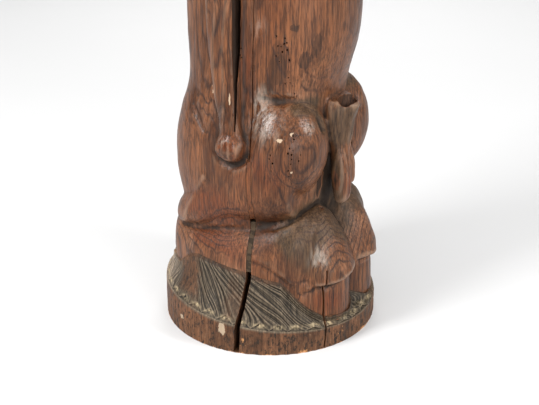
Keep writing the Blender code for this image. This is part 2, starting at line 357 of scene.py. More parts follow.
def rear_tilt(points):
    """Lowers the back of the knot's mouth and lifts its ends."""
    lift = np.clip((points[:, 2] - 250) / 26, 0, 1)
    points[:, 2] += 0.18 * (90 - points[:, 1]) * lift
    return points


def knot():
    """The loincloth's knot behind the waist: a fold flared to an edge, over its hanging ends."""
    fold = [
        (204, 13, 9, 0, 89, 2),
        (217, 14, 11, 0, 89, 1.8),
        (236, 18, 15, 0, 88, 1.6),
        (256, 23, 19, 0, 87, 1.5),
        (270, 23, 24, 0, 86, 1.5),
        (279, 20, 27, 0, 85, 1.45),
    ]
    points, faces = column(fold)
    flare = rear_tilt(points), faces
    near_end = [
        (158, 5, 4, 8, 95, 2),
        (165, 10, 8, 8, 97, 2.2),
        (186, 13, 10, 8, 96, 2.4),
        (206, 12, 9, 7, 94, 2.4),
        (228, 10, 8, 3, 91, 2),
    ]
    far_end = [
        (172, 5, 4, -10, 92, 2),
        (180, 9, 8, -10, 94, 2.2),
        (202, 10, 9, -9, 93, 2.4),
        (224, 9, 8, -6, 90, 2),
    ]
    return [flare, column(near_end), column(far_end)]


def knot_mouth():
    rows = [
        (252, 3, 3, 0, 97, 1.8),
        (266, 9, 8, 0, 98, 1.8),
        (278, 16.5, 10, 0, 97.5, 1.8),
        (298, 17.5, 11, 0, 97.5, 1.8),
    ]
    points, faces = column(rows, ring_points=40)
    return rear_tilt(points), faces


def knot_pleats(points):
    """Folds of the cloth, that run down the knot and its ends."""
    x, y, z = points.T
    on_cloth = smooth_step(y, 92, 97) * (1 - smooth_step(np.abs(x), 22, 34)) * smooth_step(z, 160, 170)
    on_cloth = on_cloth * (1 - smooth_step(z, 262, 275))
    spread = 1 + 0.9 * smooth_step(z, 215, 275) + 0.35 * smooth_step(-z, -215, -165)
    return -1.1 * on_cloth * (0.5 + 0.5 * np.cos(x / spread * 2 * math.pi / 6.4)) ** 2


def skull():
    rows = [
        (NECK_HEIGHT - 8, 54, 56, 0, 2, 2.2),
        (566, 62, 64, 0, -4, 2.3),
        (600, 76, 78, 0, -8, 2.5),
        (650, 83, 85, 0, -7, 2.5),
        (720, 83, 85, 0, -4, 2.4),
        (760, 76, 78, 0, -1, 2.3),
        (790, 50, 52, 0, 1, 2.1),
    ]
    return column(rows)


def hair():
    """A close cap with a firm lower edge all round."""
    rows = [
        (718, 84, 84, 0, 0, 2.4),
        (724, 88, 89, 0, -3, 2.4),
        (748, 86, 87, 0, -2, 2.4),
        (776, 70, 71, 0, 0, 2.2),
        (HEIGHT - 4, 42, 42, 0, 1, 2),
        (HEIGHT, 22, 22, 0, 1, 2),
    ]
    return column(rows)


def nose():
    rows = [
        (618, 15, 12, 0, -84, 2.2),
        (628, 23, 19, 0, -86, 2.4),
        (650, 17, 19, 0, -84, 2.4),
        (684, 11, 15, 0, -80, 2.4),
        (712, 14, 13, 0, -76, 2.2),
    ]
    return column(rows)


def face():
    """Nose, lips, chin, brows and ears, that stand out from the skull."""
    chin = lump((0, -66, 562), (40, 22, 18))
    lips = [lump((0, -79, 599), (42, 17, 9)), lump((0, -78, 584), (38, 17, 9))]
    forms = [nose(), chin] + lips
    for side in SIDES:
        forms.append(lump((37 * side, -73, 704), (38, 17, 12), turn=22 * side))
        forms.append(lump((83 * side, 6, 660), (10, 18, 38)))
    return forms


def figure_shape():
    """The figure as one mesh: soft inside each group, and creased between groups."""
    hips = [form(side) for side in SIDES for form in (thigh, buttock)]
    legs = [form(side) for side in SIDES for form in (lower_leg, heel)]
    arms = [arm(side) for side in SIDES]
    hands = [form for side in SIDES for form in fist(side)]
    feet = [form for side in SIDES for form in foot(side)]
    groups = [
        fused([trunk()] + belly_and_chest(), 28),
        fused(hips, 22),
        fused(legs, 5),
        fused([skull()] + face(), 4),
        fused(arms + hands, 1),
    ]
    return fused_mesh(groups + feet + knot() + [hair()], 1)


# ---- Fine relief ----

def waves(points, length, seed, count=8):
    """A smooth random field over the points, from -1 to 1, with bumps about this long."""
    draw = np.random.default_rng(seed)
    field = np.zeros(len(points))
    for _ in range(count):
        direction = draw.normal(size=3)
        direction /= np.linalg.norm(direction)
        rate = 2 * math.pi / length * draw.uniform(0.6, 1.3)
        field += np.sin(points @ direction * rate + draw.uniform(0, 2 * math.pi))
    return field / math.sqrt(count)


def spot(points, centre, radii):
    """1 at the centre of a soft oval spot, and 0 well outside it."""
    return np.exp(-(((points - centre) / radii) ** 2).sum(axis=1))


def smooth_step(value, low, high):
    t = np.clip((value - low) / (high - low), 0, 1)
    return t * t * (3 - 2 * t)


def angle_of(points):
    """Degrees round the log from +X."""
    return np.degrees(np.arctan2(points[:, 1], points[:, 0]))


def from_path(points, path):
    """Each point's distance to a run of straight lines, which both sides of the figure share."""
    points = points * 1.0
    points[:, 0] = np.abs(points[:, 0])
    nearest = np.full(len(points), np.inf)
    path = np.array(path, float)
    for start, end in zip(path, path[1:]):
        along = end - start
        share = np.clip((points - start) @ along / (along @ along), 0, 1)
        gap = np.linalg.norm(points - start - share[:, None] * along, axis=1)
        nearest = np.minimum(nearest, gap)
    return nearest


# Lines that the knife left: (points on the left side, width, height), with height below 0 for a cut
THIGH_RIDGE = [(95, -30, 194), (92, -40, 178), (88, -55, 152), (80, -69, 124)]
LEG_CREASE = [
    (72, -78, 117), (81, -55, 121), (88, -15, 132), (88, 18, 139),
    (84, 36, 142), (79, 50, 143), (70, 63, 147), (55, 71, 157), (26, 77, 161),
]
HEEL_UNDERCUT = [
    (80, 79, 63), (75, 85, 67), (68, 91, 69), (58, 101, 73), (47, 112, 75), (37, 118, 77), (21, 119, 81),
    (10, 112, 82),
]
HEEL_LIP = [(68, 91, 75), (58, 101, 79), (47, 113, 81), (37, 119, 83), (21, 120, 87), (10, 113, 88)]
CALF_FOLD = [(100, 34, 106), (97, 46, 103), (93, 54, 98), (88, 64, 88), (80, 75, 73)]
CALF_ROUND = [(101, 30, 116), (98, 45, 113), (94, 56, 106), (88, 66, 94)]
BALL_TOP = [(78, 36, 291), (72, 48, 289), (62, 61, 284), (54, 70, 278), (46, 83, 267), (43, 90, 256)]
BALL_LIP = [(64, 57, 296), (55, 67, 292), (47, 77, 285), (40, 84, 279)]
THUMB_EDGE = [(76, -50, 284), (78, -53, 270), (86, -40, 258), (92, -32, 249)]
FINGER_LINES = [[(108, y, 226), (111, y, 234), (107, y, 243)] for y in (-2, 5.5, 13)]
KNIFE_LINES = [
    (THIGH_RIDGE, 4.5, 2.0),
    (LEG_CREASE, 2.2, -2.3),
    (HEEL_UNDERCUT, 3, -3.2),
    (HEEL_LIP, 4, 1.8),
    (CALF_FOLD, 2.5, -1.6),
    (CALF_ROUND, 6, 1.2),
    (BALL_TOP, 5.5, -3.6),
    (BALL_LIP, 3, 1.3),
    (THUMB_EDGE, 4.5, -2.6),
] + [(path, 1.9, -1.9) for path in FINGER_LINES]


def knife_lines(points):
    """Ridges, creases and undercuts along the lines above."""
    relief = np.zeros(len(points))
    for path, width, height in KNIFE_LINES:
        relief += height * np.exp(-((from_path(points, path) / width) ** 2))
    return relief


def fist_moat(points):
    """The wood cut back round and below each fist, so that it stands clear."""
    mirrored = np.column_stack([np.abs(points[:, 0]), points[:, 1], points[:, 2]])
    reach = np.linalg.norm(mirrored - (93, 5.5, FIST_HEIGHT - 1), axis=1)
    below = 1 - smooth_step(points[:, 2], FIST_HEIGHT - 14, FIST_HEIGHT + 8)
    return -3.2 * below * np.exp(-(((reach - 20.5) / 3.6) ** 2))


def knife_marks(points):
    """Shallow facets, left by the knife, that stretch along the grain."""
    stretched = points * (1, 1, 0.45)
    return 0.22 * np.abs(waves(stretched, 17, 3)) + 0.12 * waves(stretched, 9, 4)


def hair_grooves(points):
    """Combed grooves round the cap of hair."""
    on_cap = smooth_step(points[:, 2], 724, 732)
    turns = np.radians(angle_of(points)) * 34
    reach = np.hypot(points[:, 0], points[:, 1])
    return -1.6 * on_cap * smooth_step(reach, 12, 40) * (0.5 + 0.5 * np.cos(turns)) ** 3


def arm_ridges(points):
    """Long splits and ridges where the arm's wood has weathered along the grain."""
    x, y, z = points.T
    lateral = np.abs(x)
    on_arm = smooth_step(lateral, 78, 86) * smooth_step(z, 252, 275) * (1 - smooth_step(z, 490, 520))
    on_arm = on_arm * (np.abs(y + 4) < 34)
    drift = 3 * np.sin(z / 41) + 1.5 * np.sin(z / 17)
    ridges = np.cos((y + drift) * 2 * math.pi / 11.5)
    return on_arm * 0.5 * np.sign(ridges) * np.abs(ridges) ** 0.7


def carve(mesh, reliefs):
    """Moves each point along its normal by the sum of the reliefs."""
    points = points_of(mesh)
    height = sum(relief(points) for relief in reliefs)
    move_points(mesh, points + normals_of(mesh) * height[:, None])


# ---- Base and grass ----

def rim_height(angles):
    """The rim's height at each angle, in radians from +X."""
    return RIM_HEIGHT + RIM_SLOPE * (BASE_RADIUS - 5) * np.sin(angles)


TIPS = 37  # leaf points round the rim
SIDE_ROWS = 20
GRASS_ROWS = 76
ROUGH_SAWN = 0.35
LEAF_THICKNESS = 3.0
TIP_DEPTH = 0.13  # how far up the slope the gap between two leaf points reaches
MOUND_RADIUS = 124.0
# (degrees from the figure's front, height at which the grass ends on the figure), the same on both sides
GRASS_LINE = [
    (0, 72), (38, 74), (50, 78), (60, 94), (68, 98), (105, 93), (126, 83), (136, 61), (144, 46),
    (151, 37), (170, 35), (180, 46),
]
# (degrees from the front, degrees that a blade leans backwards from the rim to the top)
GRASS_SWEEP = [(0, 0), (45, -8), (58, 4), (70, 26), (84, 38), (104, 46), (150, 30), (180, 0)]
STEM_FOOT = 66.0  # degrees from the front of the smooth wood that runs down between two tufts
STEM_LEAN = 6.0


def turned_from_front(angles):
    """Degrees from the figure's front, the same on both sides."""
    return np.degrees(np.arccos(np.clip(-np.sin(angles), -1, 1)))


def leaf_tips(angles):
    """1 at the middle of each leaf point on the rim, and 0 between two."""
    return np.abs((angles * TIPS / (2 * math.pi)) % 1 * 2 - 1)


def ring_at(angles, radius, z):
    return np.column_stack([radius * np.cos(angles), radius * np.sin(angles), z])


def reach_of(figure, angles, heights):
    """The figure's outer radius at each angle and height."""
    bpy.context.view_layer.update()
    radii = []
    for angle, z in zip(angles, heights):
        outward = Vector((math.cos(angle), math.sin(angle), 0))
        start = outward * 0.3 + Vector((0, 0, z * MM))
        hit, place, _, _ = figure.ray_cast(start, -outward)
        radii.append(math.hypot(place.x, place.y) / MM if hit else 0)
    return np.array(radii)


def stem(from_front, depth):
    """1 on the smooth stem of wood below each knee, and 0 on the grass."""
    away = np.abs(from_front - STEM_FOOT + STEM_LEAN * depth)
    return 1 - smooth_step(away, 4, 11)


def zigzag(lane, width):
    """0 in each groove and 1 on each ridge, across ridges of this width."""
    return np.abs((lane / width) % 1 * 2 - 1)


def blades(from_front, depth):
    """Ridges of the grass, from 0 in a groove to 1: they fan down and backwards on both sides."""
    sweep = np.interp(from_front, *np.transpose(GRASS_SWEEP))
    lane = from_front + sweep * depth ** 1.7
    lane = lane + 2.6 * np.sin(lane / 7.3 + depth * 4) + 1.2 * np.sin(lane / 2.9 - depth * 7)
    presence = 0.5 + 0.5 * np.sin(lane / 2.9 + depth * 6 + 2 * np.sin(lane / 7))
    broad = 0.50 * zigzag(lane, 7.1) ** 0.6
    narrow = 0.44 * zigzag(lane + 0.8 * np.sin(lane / 7), 3.1) * presence
    fine = 0.16 * zigzag(lane + 0.3 * np.sin(lane / 3), 1.4) * (1 - 0.6 * presence)
    return (broad + narrow + fine) * (1 - stem(from_front, depth)) + 0.5 * stem(from_front, depth)


def base_shape(figure):
    """The round base and its mound of carved grass, as rings from the floor up to the legs."""
    angles = np.linspace(0, 2 * math.pi, BASE_POINTS, endpoint=False)
    from_front = turned_from_front(angles)
    rim = rim_height(angles)
    tip = leaf_tips(angles)
    rings = []
    for level in np.linspace(0, 1, SIDE_ROWS, endpoint=False):
        chatter = np.sin(angles * 61 + 2 * np.sin(angles * 7))
        chatter = chatter * (0.6 + 0.4 * np.sin(level * 9 + angles * 3))
        rings.append(ring_at(angles, BASE_RADIUS - 0.8 + ROUGH_SAWN * chatter, level * (rim - 1)))
    top = np.interp(from_front, *np.transpose(GRASS_LINE))
    top_radius = np.clip(reach_of(figure, angles, top), 60, 116)
    for depth in np.linspace(0, 1, GRASS_ROWS):
        rise = (top - rim) * (0.30 * depth + 0.70 * depth ** 1.25)
        under = MOUND_RADIUS + (top_radius - MOUND_RADIUS) * (1 - (1 - depth) ** 2.1)
        z = rim + rise
        under = np.maximum(under, np.clip(reach_of(figure, angles, z), 0, 119) * (depth > 0.3))
        apex = TIP_DEPTH * (1 - tip) + 0.01
        leaf = smooth_step(depth - apex, 0, 0.025) * (1 - smooth_step(depth, 0.88, 1))
        ridge = blades(from_front, depth) * smooth_step(depth, 0.02, 0.2)
        lift = leaf * (LEAF_THICKNESS - 1.0 + 3.0 * (ridge - 0.4))
        radius = np.minimum(under + 0.8 * lift, BASE_RADIUS - 0.6)
        rings.append(ring_at(angles, radius, z + 0.5 * lift))
    inside = np.maximum(top_radius - 14, 40)
    rings.append(ring_at(angles, inside, top + 1))
    return skinned(rings)


# ---- Cutting ----

def slab(path, low, high, inner, thinner=0.0, outer=BASE_RADIUS + 12):
    """An upright plate along a radius, following a check's path between two heights."""
    heights, angles, widths = np.transpose(path)
    rings = []
    for z in np.linspace(low, high, 2 + int((high - low) / PLATE_STEP)):
        wander = 0.28 * math.sin(z / 19) + 0.1 * math.sin(z / 6.3)
        angle = math.radians(np.interp(z, heights, angles) + wander)
        width = np.interp(z, heights, widths) - thinner
        along = np.array([math.cos(angle), math.sin(angle), 0])
        across = np.array([-along[1], along[0], 0])
        corners = ((inner, -1), (outer, -1), (outer, 1), (inner, 1))
        ring = [along * radius + across * half * width / 2 for radius, half in corners]
        rings.append(np.array(ring) + (0, 0, z))
    return skinned(rings)


def arm_gap(side):
    """The deep cut that frees the back of the arm from the back of the figure."""
    rows = [
        (256, 12, 0.8, 92 * side, 13, 2),
        (290, 17, 1.3, 88 * side, 11.5, 2),
        (330, 19, 2.3, 86 * side, 10, 2),
        (370, 20, 3.2, 84 * side, 9.5, 2),
        (460, 20, 3.4, 88 * side, 13, 2),
        (496, 14, 2, 96 * side, 20, 2),
    ]
    return column(rows, steps=6, ring_points=20)


def tail_gap(side):
    """The dark slot between a buttock and the knot's hanging ends."""
    rows = [
        (154, 4, 10, 27 * side, 90, 2),
        (172, 7.5, 19, 28 * side, 94, 2),
        (205, 7, 19, 27 * side, 94, 2),
        (228, 3, 12, 25 * side, 97, 2),
    ]
    return column(rows, steps=4, ring_points=20)


def box(half_width, low, high):
    corners = np.array([(-1, -1, 0), (1, -1, 0), (1, 1, 0), (-1, 1, 0)]) * half_width
    return skinned([corners + (0, 0, low), corners + (0, 0, high)])


def eye(side):
    return lump((36 * side, -73, 677), (22, 10, 10), turn=24 * side)


def eye_socket(side):
    return lump((37 * side, -88, 680), (27, 13, 14), turn=24 * side)


def join(thing, other, operation):
    """Applies a Boolean with the other object and keeps the result as the object's mesh."""
    modifier = thing.modifiers.new(other.name, "BOOLEAN")
    modifier.operation = operation
    modifier.solver = "MANIFOLD"
    modifier.object = other
    apply_modifiers(thing)


def cut_away(thing, name, shapes, operation="DIFFERENCE", dirt_and_shade=0.0):
    """Cuts or adds some shapes, whose cut faces are painted this dark, as grime and painted shade."""
    cutter = placed(name, mesh_of(name, shapes))
    paint(cutter.data, "hollow", np.full(len(cutter.data.vertices), dirt_and_shade))
    join(thing, cutter, operation)
    bpy.data.objects.remove(cutter)


def thin_out(thing, triangles):
    """Brings the mesh down to about this many triangles, most of them where it curves most."""
    thing.data.calc_loop_triangles()
    count = len(thing.data.loop_triangles)
    if count > triangles:
        modifier = thing.modifiers.new("fewer", "DECIMATE")
        modifier.ratio = triangles / count
        apply_modifiers(thing)


def checks(low=-5):
    return [
        ("main_check", slab(MAIN_CHECK, low, CHECK_TOP, CHECK_FLOOR_RADIUS)),
        ("hairline_check", slab(HAIRLINE, CHECK_TOP - CHECK_LAP, HAIRLINE_TOP, CHECK_FLOOR_RADIUS)),
        ("heel_check", slab(HEEL_CHECK, low, HEEL_CHECK_TOP, HEEL_CHECK_FLOOR_RADIUS)),
    ]


def deep_cuts():
    """Hollows of the figure alone, each with how dark its cut faces are painted, as grime and painted
    shade.
    """
    cuts = [
        ("knot_mouth", knot_mouth(), 0.5),
        ("knee_gap", lump((0, -106, 100), (5, 15, 54)), 0.8),
        ("mouth", lump((0, -97, 592), (38, 9, 2.2)), 0.6),
    ]
    for side, word in zip(SIDES, ("left", "right")):
        cuts.append(("arm_gap_" + word, arm_gap(side), 1.0))
        cuts.append(("eye_socket_" + word, eye_socket(side), 0.0))
        cuts.append(("tail_gap_" + word, tail_gap(side), 0.9))
        crease_hollow = lump((87 * side, 37, 143.5), (9, 12, 3.2), turn=24 * side)
        cuts.append(("crease_hollow_" + word, crease_hollow, 1.0))
    return cuts


# ---- Surface values that the materials read ----

def averaged(values, edges, passes):
    """Values blurred over the mesh by taking the mean of neighbours, pass after pass."""
    count = len(values)
    starts = np.concatenate([edges[:, 0], edges[:, 1]])
    ends = np.concatenate([edges[:, 1], edges[:, 0]])
    valence = np.maximum(np.bincount(starts, minlength=count), 1)
    for _ in range(passes):
        columns = [np.bincount(starts, values[ends, i], count) / valence for i in range(values.shape[1])]
        values = 0.5 * values + 0.5 * np.column_stack(columns)
    return values


def hollow_depth(mesh, passes, scale):
    """Above 0 in hollows and below 0 on ridges, by how far a blurred surface lies outside."""
    points = points_of(mesh)
    blurred = averaged(points, read_rows(mesh.edges, "vertices", 2, np.int32), passes)
    depth = ((blurred - points) * normals_of(mesh)).sum(axis=1)
    return np.clip(depth / scale, -1, 1)


def paint(mesh, name, values):
    """Stores a value for each point, for the materials to read."""
    attribute = mesh.attributes.new(name, "FLOAT", "POINT")
    attribute.data.foreach_set("value", np.asarray(values, np.float32))


# ---- Materials ----

class Nodes:
    """Short names for building a node tree."""

    def __init__(self, name):
        self.material = bpy.data.materials.new(name)
        self.material.use_nodes = True
        self.tree = self.material.node_tree
        self.surface = self.tree.nodes["Principled BSDF"]
        self.place = self.add("ShaderNodeTexCoord").outputs["Object"]

    def add(self, kind, **values):
        node = self.tree.nodes.new(kind)
        for key, value in values.items():
            setattr(node, key, value)
        return node

    def feed(self, socket, value):
        if isinstance(value, bpy.types.NodeSocket):
            self.tree.links.new(value, socket)
        else:
            socket.default_value = value

    def math(self, operation, first, second=0.0, third=0.0):
        node = self.add("ShaderNodeMath", operation=operation)
        for socket, value in zip(node.inputs, (first, second, third)):
            self.feed(socket, value)
        return node.outputs[0]

    def vector(self, operation, first, second=(0, 0, 0)):
        node = self.add("ShaderNodeVectorMath", operation=operation)
        self.feed(node.inputs[0], first)
        self.feed(node.inputs[1], second)
        return node.outputs["Value" if operation == "LENGTH" else "Vector"]

    def noise(self, stretch, detail=3.0, roughness=0.55):
        """Noise with this many bumps per metre along each axis."""
        spread = self.vector("MULTIPLY", self.place, stretch)
        node = self.add("ShaderNodeTexNoise")
        self.feed(node.inputs["Vector"], spread)
        node.inputs["Scale"].default_value = 1.0
        node.inputs["Detail"].default_value = detail
        node.inputs["Roughness"].default_value = roughness
        return node.outputs["Fac"]

    def step(self, value, low, high, start=0.0, end=1.0):
        """start below low, end above high, and smooth between them."""
        node = self.add("ShaderNodeMapRange", interpolation_type="SMOOTHSTEP")
        for socket, number in zip(node.inputs, (value, low, high, start, end)):
            self.feed(socket, number)
        return node.outputs[0]

    def attribute(self, name):
        return self.add("ShaderNodeAttribute", attribute_name=name).outputs["Fac"]

    def mix(self, share, first, second, blend="MIX"):
        node = self.add("ShaderNodeMix", data_type="RGBA", blend_type=blend)
        self.feed(node.inputs[0], share)
        for socket, colour in zip(node.inputs[6:8], (first, second)):
            if isinstance(colour, tuple):
                colour = (*colour, 1)
            self.feed(socket, colour)
        return node.outputs[2]

    def over(self, colour, top, share, strength):
        """The colour with another over it, where share is 1, at this strength."""
        return self.mix(self.math("MULTIPLY", share, strength), colour, top)

    def grey(self, value):
        node = self.add("ShaderNodeCombineColor")
        for socket in node.inputs[:3]:
            self.feed(socket, value)
        return node.outputs[0]

    def streaked(self, colour, streak):
        return self.mix(1.0, colour, self.grey(streak), blend="MULTIPLY")

    def bump(self, height, strength, distance, normal=None):
        node = self.add("ShaderNodeBump")
        node.inputs["Strength"].default_value = strength
        node.inputs["Distance"].default_value = distance
        self.feed(node.inputs["Height"], height)
        if normal is not None:
            self.feed(node.inputs["Normal"], normal)
        return node.outputs[0]


def ring_lines(nodes, spacing):
    """Growth rings round the log's upright pith: 1 on each dark line."""
    wander = nodes.noise((14, 14, 3.2), detail=2)
    ripple = nodes.noise((60, 60, 11), detail=2)
    flat = nodes.vector("MULTIPLY", nodes.place, (1, 1, 0.05))
    radius = nodes.vector("LENGTH", flat)
    radius = nodes.math("MULTIPLY_ADD", wander, 0.018, radius)
    radius = nodes.math("MULTIPLY_ADD", ripple, 0.004, radius)
    turns = nodes.math("DIVIDE", radius, spacing)
    swing = nodes.math("PINGPONG", turns, 0.5)
    return nodes.step(swing, 0.30, 0.5)


def ragged(nodes, name, scatter, raggedness, low, high):
    """A painted value from 0 to 1, with its edge broken up by the scatter."""
    value = nodes.math("MULTIPLY_ADD", scatter, raggedness, nodes.attribute(name))
    return nodes.step(value, low, high)


def finish_surface(nodes, colour, rough, specular, normal):
    nodes.feed(nodes.surface.inputs["Base Color"], colour)
    nodes.feed(nodes.surface.inputs["Roughness"], rough)
    nodes.surface.inputs["Specular IOR Level"].default_value = specular
    nodes.feed(nodes.surface.inputs["Normal"], normal)
    return nodes.material


# Colours of the wood, in linear light
THIN_RED = (0.098, 0.024, 0.007)
WORN_DARK = (0.112, 0.037, 0.013)
WORN_LIGHT = (0.168, 0.064, 0.025)
STAIN_AND_SHADE_BROWN = (0.050, 0.031, 0.015)
OLD_FINISH = (0.052, 0.020, 0.008)
RING_LINE = (0.030, 0.012, 0.007)
OPEN_PORE = (0.016, 0.008, 0.005)
# Dirt and painted shade: the black laid into hollows, creases and cut faces
DIRT_AND_SHADE_BLACK = (0.012, 0.007, 0.004)
RUBBED_EDGE = (0.34, 0.215, 0.14)
BRUISE = (0.46, 0.34, 0.23)
# Painted highlight: a pale sheen laid into the colour where the wood would reflect the lights
PAINTED_HIGHLIGHT_PALE = (0.48, 0.41, 0.34)

RING_SPACING = 0.0033  # metres
RING_SHARE = 0.85
WOOD_SPECULAR = 0.27
FINE_RELIEF = 0.0005  # metres
DENT_DEPTH = 0.0026


def bare_wood(nodes, blotch, deep, middle, light):
    """The wood's own colour, in blotches and flecks along the grain."""
    fleck = nodes.noise((95, 95, 13), detail=5, roughness=0.7)
    colour = nodes.mix(nodes.step(blotch, 0.34, 0.52), deep, middle)
    colour = nodes.mix(nodes.step(blotch, 0.54, 0.74), colour, light)
    colour = nodes.over(colour, deep, nodes.step(fleck, 0.50, 0.66), 0.65)
    return nodes.over(colour, light, nodes.step(fleck, 0.46, 0.32), 0.35)


def wood(name, deep, middle, light, gloss):
    """Oiled red hardwood with rings, fibre and pores, worn and with stains where the surface says so, with
    painted shade in its hollows, gaps and checks and painted highlights where it would reflect the lights.
    """
    nodes = Nodes(name)
    rings = ring_lines(nodes, RING_SPACING)
    ring_patches = nodes.step(nodes.noise((11, 11, 8)), 0.33, 0.58)
    fibre = nodes.noise((520, 520, 24), detail=4, roughness=0.7)
    pores = nodes.step(nodes.noise((760, 760, 60), detail=2), 0.56, 0.68)
    blotch = nodes.noise((17, 17, 6), detail=5, roughness=0.62)
    speck = nodes.noise((190, 190, 50), detail=4, roughness=0.6)
    scatter = nodes.math("SUBTRACT", speck, 0.5)

    colour = bare_wood(nodes, blotch, deep, middle, light)
    colour = nodes.over(colour, THIN_RED, ragged(nodes, "red", scatter, 0.8, 0.2, 0.9), 0.75)
    worn = ragged(nodes, "bare", scatter, 0.5, 0.40, 0.50)
    orange = nodes.mix(nodes.step(blotch, 0.35, 0.65), WORN_DARK, WORN_LIGHT)
    colour = nodes.over(colour, orange, worn, 0.9)
    # Stains, and painted shade in gaps and hollows, darken the wood here
    stain_and_shade_share = ragged(nodes, "stain_and_shade", scatter, 0.6, 0.25, 0.8)
    colour = nodes.over(colour, STAIN_AND_SHADE_BROWN, stain_and_shade_share, 0.78)
    colour = nodes.over(colour, OLD_FINISH, ragged(nodes, "patch", scatter, 0.9, 0.36, 0.44), 0.85)

    ring_dark = nodes.math("MULTIPLY", nodes.math("MULTIPLY", rings, ring_patches), RING_SHARE)
    ring_dark = nodes.math("MULTIPLY", ring_dark, nodes.math("MULTIPLY_ADD", worn, -0.8, 1.0))
    colour = nodes.mix(ring_dark, colour, RING_LINE)
    colour = nodes.streaked(colour, nodes.step(fibre, 0.3, 0.7, 0.40, 1.55))
    open_pores = nodes.math("MULTIPLY", pores, nodes.math("MULTIPLY_ADD", stain_and_shade_share, -0.35, 0.62))
    colour = nodes.mix(open_pores, colour, OPEN_PORE)

    hollow = nodes.attribute("hollow")
    # Dirt and painted shade: hollows, creases and cut faces turn black, as where shade falls
    dirt_and_shade = nodes.step(hollow, 0.08, 0.8)
    colour = nodes.over(colour, DIRT_AND_SHADE_BLACK, dirt_and_shade, 0.88)
    rubbed = nodes.step(nodes.math("MULTIPLY_ADD", scatter, -0.6, hollow), -0.12, -0.7)
    colour = nodes.over(colour, RUBBED_EDGE, rubbed, 0.36)
    colour = nodes.over(colour, BRUISE, ragged(nodes, "chip", scatter, 1.2, 0.5, 0.6), 0.85)
    # Painted highlights: pale streaks laid into the colour where the wood would reflect the lights
    painted_highlight = nodes.math("MULTIPLY", nodes.attribute("painted_highlight"), nodes.step(speck, 0.28, 0.62))
    painted_highlight = nodes.math("MULTIPLY", nodes.step(painted_highlight, 0.1, 0.9), nodes.step(fibre, 0.35, 0.6, 0.6, 1.0))
    colour = nodes.over(colour, PAINTED_HIGHLIGHT_PALE, painted_highlight, 0.36)

    rough = nodes.step(blotch, 0.3, 0.7, gloss, gloss + 0.14)
    for share, change in ((nodes.attribute("gloss"), -0.17), (worn, 0.05), (stain_and_shade_share, 0.06), (dirt_and_shade, 0.3)):
        rough = nodes.math("MULTIPLY_ADD", share, change, rough)

    height = nodes.math("MULTIPLY_ADD", fibre, 0.55, nodes.math("MULTIPLY", pores, -0.5))
    height = nodes.math("MULTIPLY_ADD", ring_dark, -0.5, height)
    dents = nodes.noise((120, 120, 70), detail=2, roughness=0.5)
    normal = nodes.bump(dents, 0.28, DENT_DEPTH, nodes.bump(height, 0.5, FINE_RELIEF))
    return finish_surface(nodes, colour, rough, WOOD_SPECULAR, normal)


# Colours of the base, in linear light
SAWN_DARK = (0.058, 0.025, 0.011)
SAWN_LIGHT = (0.145, 0.064, 0.030)
SAWN_DIRT = (0.026, 0.016, 0.010)
SAWN_PALE = (0.22, 0.13, 0.075)
BARE_EDGE = (0.40, 0.19, 0.075)
BLADE_TOP = (0.135, 0.102, 0.068)
# Painted shade: the near black laid into the grass's grooves
GROOVE_SHADE = (0.014, 0.010, 0.006)
BLADE_WARM = (0.11, 0.055, 0.030)
# Dust, and painted sheen: the paler grass ridges at the figure's front, as where the left light falls
DUST_AND_SHEEN = (0.42, 0.33, 0.25)
# Painted highlight: the pale leaf points along the rim
TIP_HIGHLIGHT = (0.40, 0.31, 0.185)
KNOCK = (0.42, 0.32, 0.22)


def grass_wood(name):
    """The greyed, dirty wood of the grass, with painted shade in its grooves, painted highlights on its
    leaf points and dust and painted sheen on its front ridges, and the sawn side of the base below it.
    """
    nodes = Nodes(name)
    fibre = nodes.noise((420, 420, 26), detail=4, roughness=0.7)
    blotch = nodes.noise((22, 22, 14), detail=4, roughness=0.6)
    speck = nodes.noise((260, 260, 190), detail=3)
    mottle = nodes.noise((230, 230, 120), detail=5, roughness=0.75)
    scatter = nodes.math("SUBTRACT", speck, 0.5)
    hollow = nodes.attribute("hollow")

    side = nodes.mix(nodes.step(blotch, 0.35, 0.65), SAWN_DARK, SAWN_LIGHT)
    side = nodes.mix(nodes.step(mottle, 0.50, 0.60), side, SAWN_DIRT)
    side = nodes.over(side, SAWN_PALE, nodes.step(mottle, 0.42, 0.32), 0.5)
    side = nodes.mix(ragged(nodes, "bare", scatter, 1.3, 0.55, 0.66), side, BARE_EDGE)
    # Painted shade: the grooves of the grass are painted near black
    grass = nodes.mix(nodes.step(hollow, -0.35, 0.2), BLADE_TOP, GROOVE_SHADE)
    grass = nodes.over(grass, BLADE_WARM, nodes.step(blotch, 0.5, 0.75), 0.5)
    # Dust and painted sheen: the grass ridges towards the front are painted paler
    dust_and_sheen_share = nodes.math("MULTIPLY", nodes.attribute("dust_and_sheen"), nodes.step(hollow, 0.1, -0.4, 0.35, 1.0))
    grass = nodes.mix(dust_and_sheen_share, grass, DUST_AND_SHEEN)

    colour = nodes.mix(nodes.attribute("grass"), side, grass)
    # Painted highlights on the leaf points' facets at the rim
    tip_highlight = nodes.math("MULTIPLY", nodes.attribute("tip_highlight"), nodes.step(speck, 0.35, 0.6))
    colour = nodes.mix(tip_highlight, colour, TIP_HIGHLIGHT)
    colour = nodes.streaked(colour, nodes.step(fibre, 0.3, 0.7, 0.5, 1.35))
    colour = nodes.over(colour, KNOCK, ragged(nodes, "pale", scatter, 1.2, 0.45, 0.6), 0.8)
    rough = nodes.step(blotch, 0.3, 0.7, 0.5, 0.7)
    normal = nodes.bump(speck, 0.5, 0.0012, nodes.bump(fibre, 0.7, 0.0007))
    return finish_surface(nodes, colour, rough, 0.22, normal)


